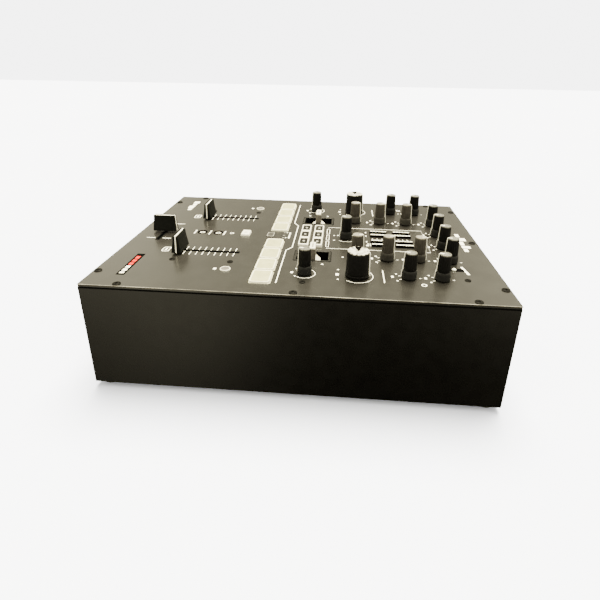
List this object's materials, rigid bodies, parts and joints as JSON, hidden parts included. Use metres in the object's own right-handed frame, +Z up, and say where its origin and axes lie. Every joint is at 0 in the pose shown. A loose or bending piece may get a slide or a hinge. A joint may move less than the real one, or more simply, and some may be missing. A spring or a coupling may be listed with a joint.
{
  "type": "dj mixer",
  "caption": "Desktop DJ mixer in a black steel box with rotary knobs, sliding channel faders and a crossfader, cream pads, effect paddles, level lights and rear sockets.",
  "frame": {"origin": "centre of the footprint, in the plane that the rubber feet stand on", "axes": "+Z up, +Y towards the rear sockets, +X to the user's right; the user stands on the -Y side"},
  "size_m": [0.264, 0.3647, 0.1267],
  "materials": {
    "plate_paint": "satin",
    "case_paint": "satin",
    "black_knob": "matte",
    "grey_knob": "matte",
    "white_cap": "satin",
    "pad_silicone": "matte",
    "fader_cap": "matte",
    "circuit_board": "satin",
    "bracket_steel": "satin",
    "socket_plastic": "satin",
    "foot_rubber": "matte",
    "print_white": "matte",
    "print_red": "matte",
    "screw_black": "satin",
    "light_lens": "gloss",
    "contact_metal": "gloss",
    "nut_chrome": "gloss"
  },
  "bodies": {
    "housing": {"top_plate": "plate_paint", "chassis_tray": "case_paint", "front_panel": "case_paint", "rear_panel": "case_paint", "foot_front_left": "foot_rubber", "foot_front_right": "foot_rubber", "foot_rear_left": "foot_rubber", "foot_rear_right": "foot_rubber", "control_board": "circuit_board", "main_board": "circuit_board", "power_supply": "circuit_board", "fader_carrier": "bracket_steel", "power_inlet": "socket_plastic", "rear_jacks": "socket_plastic", "headphone_jacks": "socket_plastic"},
    "centre_select_knob": {"centre_select_knob": "black_knob"},
    "effect_select_knob_left": {"effect_select_knob_left": "black_knob"},
    "effect_select_knob_right": {"effect_select_knob_right": "black_knob"},
    "effect_amount_knob_left": {"effect_amount_knob_left": "black_knob"},
    "effect_amount_knob_right": {"effect_amount_knob_right": "black_knob"},
    "eq_low_knob_left": {"eq_low_knob_left": "grey_knob"},
    "eq_low_knob_right": {"eq_low_knob_right": "grey_knob"},
    "eq_mid_knob_left": {"eq_mid_knob_left": "grey_knob"},
    "eq_mid_knob_right": {"eq_mid_knob_right": "grey_knob"},
    "eq_high_knob_left": {"eq_high_knob_left": "grey_knob"},
    "eq_high_knob_right": {"eq_high_knob_right": "grey_knob"},
    "outer_front_knob_left": {"outer_front_knob_left": "black_knob"},
    "outer_front_knob_right": {"outer_front_knob_right": "black_knob"},
    "outer_rear_knob_left": {"outer_rear_knob_left": "black_knob"},
    "outer_rear_knob_right": {"outer_rear_knob_right": "black_knob"},
    "gain_knob_left": {"gain_knob_left": "black_knob"},
    "gain_knob_right": {"gain_knob_right": "black_knob"},
    "level_knob_left": {"level_knob_left": "black_knob"},
    "level_knob_right": {"level_knob_right": "black_knob"},
    "trimmer_front": {"trimmer_front": "white_cap"},
    "trimmer_rear": {"trimmer_rear": "white_cap"},
    "channel_fader_cap_left": {"channel_fader_cap_left": "fader_cap"},
    "channel_fader_cap_right": {"channel_fader_cap_right": "fader_cap"},
    "crossfader_cap": {"crossfader_cap": "fader_cap"},
    "pad_left_1": {"pad_left_1": "pad_silicone"},
    "pad_left_2": {"pad_left_2": "pad_silicone"},
    "pad_left_3": {"pad_left_3": "pad_silicone"},
    "pad_left_4": {"pad_left_4": "pad_silicone"},
    "pad_right_1": {"pad_right_1": "pad_silicone"},
    "pad_right_2": {"pad_right_2": "pad_silicone"},
    "pad_right_3": {"pad_right_3": "pad_silicone"},
    "pad_right_4": {"pad_right_4": "pad_silicone"},
    "effect_button_front_left": {"effect_button_front_left": "white_cap"},
    "effect_button_front_middle": {"effect_button_front_middle": "white_cap"},
    "effect_button_front_right": {"effect_button_front_right": "white_cap"},
    "effect_button_rear_left": {"effect_button_rear_left": "white_cap"},
    "effect_button_rear_middle": {"effect_button_rear_middle": "white_cap"},
    "effect_button_rear_right": {"effect_button_rear_right": "white_cap"},
    "cue_button_left": {"cue_button_left": "white_cap"},
    "cue_button_right": {"cue_button_right": "white_cap"},
    "tap_button": {"tap_button": "white_cap"},
    "mode_button": {"mode_button": "white_cap"},
    "effect_paddle_left": {"effect_paddle_left": "white_cap"},
    "effect_paddle_right": {"effect_paddle_right": "white_cap"},
    "power_switch": {"power_switch": "socket_plastic"}
  },
  "joints": [
    {"name": "centre_select_knob_turn", "type": "hinge", "parent": "housing", "child": "centre_select_knob", "pos_m": [0, 0.0423, 0.1025], "axis": [0, 0, 1], "range_deg": [-300, 0]},
    {"name": "effect_select_knob_left_turn", "type": "hinge", "parent": "housing", "child": "effect_select_knob_left", "pos_m": [-0.091, 0.0061, 0.1025], "axis": [0, 0, 1], "range_deg": [-300, 0]},
    {"name": "effect_select_knob_right_turn", "type": "hinge", "parent": "housing", "child": "effect_select_knob_right", "pos_m": [0.091, 0.0061, 0.1025], "axis": [0, 0, 1], "range_deg": [-300, 0]},
    {"name": "effect_amount_knob_left_turn", "type": "hinge", "parent": "housing", "child": "effect_amount_knob_left", "pos_m": [-0.091, 0.0519, 0.1025], "axis": [0, 0, 1], "range_deg": [-300, 0]},
    {"name": "effect_amount_knob_right_turn", "type": "hinge", "parent": "housing", "child": "effect_amount_knob_right", "pos_m": [0.091, 0.0519, 0.1025], "axis": [0, 0, 1], "range_deg": [-300, 0]},
    {"name": "eq_low_knob_left_turn", "type": "hinge", "parent": "housing", "child": "eq_low_knob_left", "pos_m": [-0.052, 0.0524, 0.1025], "axis": [0, 0, 1], "range_deg": [-150, 150]},
    {"name": "eq_low_knob_right_turn", "type": "hinge", "parent": "housing", "child": "eq_low_knob_right", "pos_m": [0.052, 0.0524, 0.1025], "axis": [0, 0, 1], "range_deg": [-150, 150]},
    {"name": "eq_mid_knob_left_turn", "type": "hinge", "parent": "housing", "child": "eq_mid_knob_left", "pos_m": [-0.0525, 0.0807, 0.1025], "axis": [0, 0, 1], "range_deg": [-150, 150]},
    {"name": "eq_mid_knob_right_turn", "type": "hinge", "parent": "housing", "child": "eq_mid_knob_right", "pos_m": [0.0525, 0.0807, 0.1025], "axis": [0, 0, 1], "range_deg": [-150, 150]},
    {"name": "eq_high_knob_left_turn", "type": "hinge", "parent": "housing", "child": "eq_high_knob_left", "pos_m": [-0.052, 0.11, 0.1025], "axis": [0, 0, 1], "range_deg": [-150, 150]},
    {"name": "eq_high_knob_right_turn", "type": "hinge", "parent": "housing", "child": "eq_high_knob_right", "pos_m": [0.052, 0.11, 0.1025], "axis": [0, 0, 1], "range_deg": [-150, 150]},
    {"name": "outer_front_knob_left_turn", "type": "hinge", "parent": "housing", "child": "outer_front_knob_left", "pos_m": [-0.0905, 0.0963, 0.1025], "axis": [0, 0, 1], "range_deg": [-300, 0]},
    {"name": "outer_front_knob_right_turn", "type": "hinge", "parent": "housing", "child": "outer_front_knob_right", "pos_m": [0.0905, 0.0963, 0.1025], "axis": [0, 0, 1], "range_deg": [-300, 0]},
    {"name": "outer_rear_knob_left_turn", "type": "hinge", "parent": "housing", "child": "outer_rear_knob_left", "pos_m": [-0.0905, 0.1246, 0.1025], "axis": [0, 0, 1], "range_deg": [-300, 0]},
    {"name": "outer_rear_knob_right_turn", "type": "hinge", "parent": "housing", "child": "outer_rear_knob_right", "pos_m": [0.0905, 0.1246, 0.1025], "axis": [0, 0, 1], "range_deg": [-300, 0]},
    {"name": "gain_knob_left_turn", "type": "hinge", "parent": "housing", "child": "gain_knob_left", "pos_m": [-0.052, 0.1395, 0.1025], "axis": [0, 0, 1], "range_deg": [-300, 0]},
    {"name": "gain_knob_right_turn", "type": "hinge", "parent": "housing", "child": "gain_knob_right", "pos_m": [0.052, 0.1395, 0.1025], "axis": [0, 0, 1], "range_deg": [-300, 0]},
    {"name": "level_knob_left_turn", "type": "hinge", "parent": "housing", "child": "level_knob_left", "pos_m": [-0.0173, 0.1395, 0.1025], "axis": [0, 0, 1], "range_deg": [-300, 0]},
    {"name": "level_knob_right_turn", "type": "hinge", "parent": "housing", "child": "level_knob_right", "pos_m": [0.0173, 0.1395, 0.1025], "axis": [0, 0, 1], "range_deg": [-300, 0]},
    {"name": "trimmer_front_turn", "type": "hinge", "parent": "housing", "child": "trimmer_front", "pos_m": [0, -0.1118, 0.1025], "axis": [0, 0, 1], "range_deg": [-150, 150]},
    {"name": "trimmer_rear_turn", "type": "hinge", "parent": "housing", "child": "trimmer_rear", "pos_m": [0, -0.0945, 0.1025], "axis": [0, 0, 1], "range_deg": [-150, 150]},
    {"name": "channel_fader_cap_left_slide", "type": "slide", "parent": "housing", "child": "channel_fader_cap_left", "axis": [0, 1, 0], "range_m": [0, 0.0525]},
    {"name": "channel_fader_cap_right_slide", "type": "slide", "parent": "housing", "child": "channel_fader_cap_right", "axis": [0, 1, 0], "range_m": [0, 0.0525]},
    {"name": "crossfader_cap_slide", "type": "slide", "parent": "housing", "child": "crossfader_cap", "axis": [1, 0, 0], "range_m": [-0.024, 0.021]},
    {"name": "pad_left_1_press", "type": "slide", "parent": "housing", "child": "pad_left_1", "axis": [0, 0, -1], "range_m": [0, 0.001], "stiffness_N_per_m": 600, "springref_m": -0.0008},
    {"name": "pad_left_2_press", "type": "slide", "parent": "housing", "child": "pad_left_2", "axis": [0, 0, -1], "range_m": [0, 0.001], "stiffness_N_per_m": 600, "springref_m": -0.0008},
    {"name": "pad_left_3_press", "type": "slide", "parent": "housing", "child": "pad_left_3", "axis": [0, 0, -1], "range_m": [0, 0.001], "stiffness_N_per_m": 600, "springref_m": -0.0008},
    {"name": "pad_left_4_press", "type": "slide", "parent": "housing", "child": "pad_left_4", "axis": [0, 0, -1], "range_m": [0, 0.001], "stiffness_N_per_m": 600, "springref_m": -0.0008},
    {"name": "pad_right_1_press", "type": "slide", "parent": "housing", "child": "pad_right_1", "axis": [0, 0, -1], "range_m": [0, 0.001], "stiffness_N_per_m": 600, "springref_m": -0.0008},
    {"name": "pad_right_2_press", "type": "slide", "parent": "housing", "child": "pad_right_2", "axis": [0, 0, -1], "range_m": [0, 0.001], "stiffness_N_per_m": 600, "springref_m": -0.0008},
    {"name": "pad_right_3_press", "type": "slide", "parent": "housing", "child": "pad_right_3", "axis": [0, 0, -1], "range_m": [0, 0.001], "stiffness_N_per_m": 600, "springref_m": -0.0008},
    {"name": "pad_right_4_press", "type": "slide", "parent": "housing", "child": "pad_right_4", "axis": [0, 0, -1], "range_m": [0, 0.001], "stiffness_N_per_m": 600, "springref_m": -0.0008},
    {"name": "effect_button_front_left_press", "type": "slide", "parent": "housing", "child": "effect_button_front_left", "axis": [0, 0, -1], "range_m": [0, 0.0012], "stiffness_N_per_m": 300, "springref_m": -0.0008},
    {"name": "effect_button_front_middle_press", "type": "slide", "parent": "housing", "child": "effect_button_front_middle", "axis": [0, 0, -1], "range_m": [0, 0.0012], "stiffness_N_per_m": 300, "springref_m": -0.0008},
    {"name": "effect_button_front_right_press", "type": "slide", "parent": "housing", "child": "effect_button_front_right", "axis": [0, 0, -1], "range_m": [0, 0.0012], "stiffness_N_per_m": 300, "springref_m": -0.0008},
    {"name": "effect_button_rear_left_press", "type": "slide", "parent": "housing", "child": "effect_button_rear_left", "axis": [0, 0, -1], "range_m": [0, 0.0012], "stiffness_N_per_m": 300, "springref_m": -0.0008},
    {"name": "effect_button_rear_middle_press", "type": "slide", "parent": "housing", "child": "effect_button_rear_middle", "axis": [0, 0, -1], "range_m": [0, 0.0012], "stiffness_N_per_m": 300, "springref_m": -0.0008},
    {"name": "effect_button_rear_right_press", "type": "slide", "parent": "housing", "child": "effect_button_rear_right", "axis": [0, 0, -1], "range_m": [0, 0.0012], "stiffness_N_per_m": 300, "springref_m": -0.0008},
    {"name": "cue_button_left_press", "type": "slide", "parent": "housing", "child": "cue_button_left", "axis": [0, 0, -1], "range_m": [0, 0.0012], "stiffness_N_per_m": 300, "springref_m": -0.0008},
    {"name": "cue_button_right_press", "type": "slide", "parent": "housing", "child": "cue_button_right", "axis": [0, 0, -1], "range_m": [0, 0.0012], "stiffness_N_per_m": 300, "springref_m": -0.0008},
    {"name": "tap_button_press", "type": "slide", "parent": "housing", "child": "tap_button", "axis": [0, 0, -1], "range_m": [0, 0.001], "stiffness_N_per_m": 300, "springref_m": -0.0008},
    {"name": "mode_button_press", "type": "slide", "parent": "housing", "child": "mode_button", "axis": [0, 0, -1], "range_m": [0, 0.0005], "stiffness_N_per_m": 300, "springref_m": -0.0008},
    {"name": "effect_paddle_left_tilt", "type": "hinge", "parent": "housing", "child": "effect_paddle_left", "pos_m": [-0.0515, 0.0106, 0.0925], "axis": [1, 0, 0], "range_deg": [-18, 18], "stiffness_Nm_per_rad": 0.3},
    {"name": "effect_paddle_right_tilt", "type": "hinge", "parent": "housing", "child": "effect_paddle_right", "pos_m": [0.0515, 0.0106, 0.0925], "axis": [1, 0, 0], "range_deg": [-18, 18], "stiffness_Nm_per_rad": 0.3},
    {"name": "power_switch_rock", "type": "hinge", "parent": "housing", "child": "power_switch", "pos_m": [-0.066, 0.177, 0.056], "axis": [1, 0, 0], "range_deg": [-14, 0]}
  ]
}
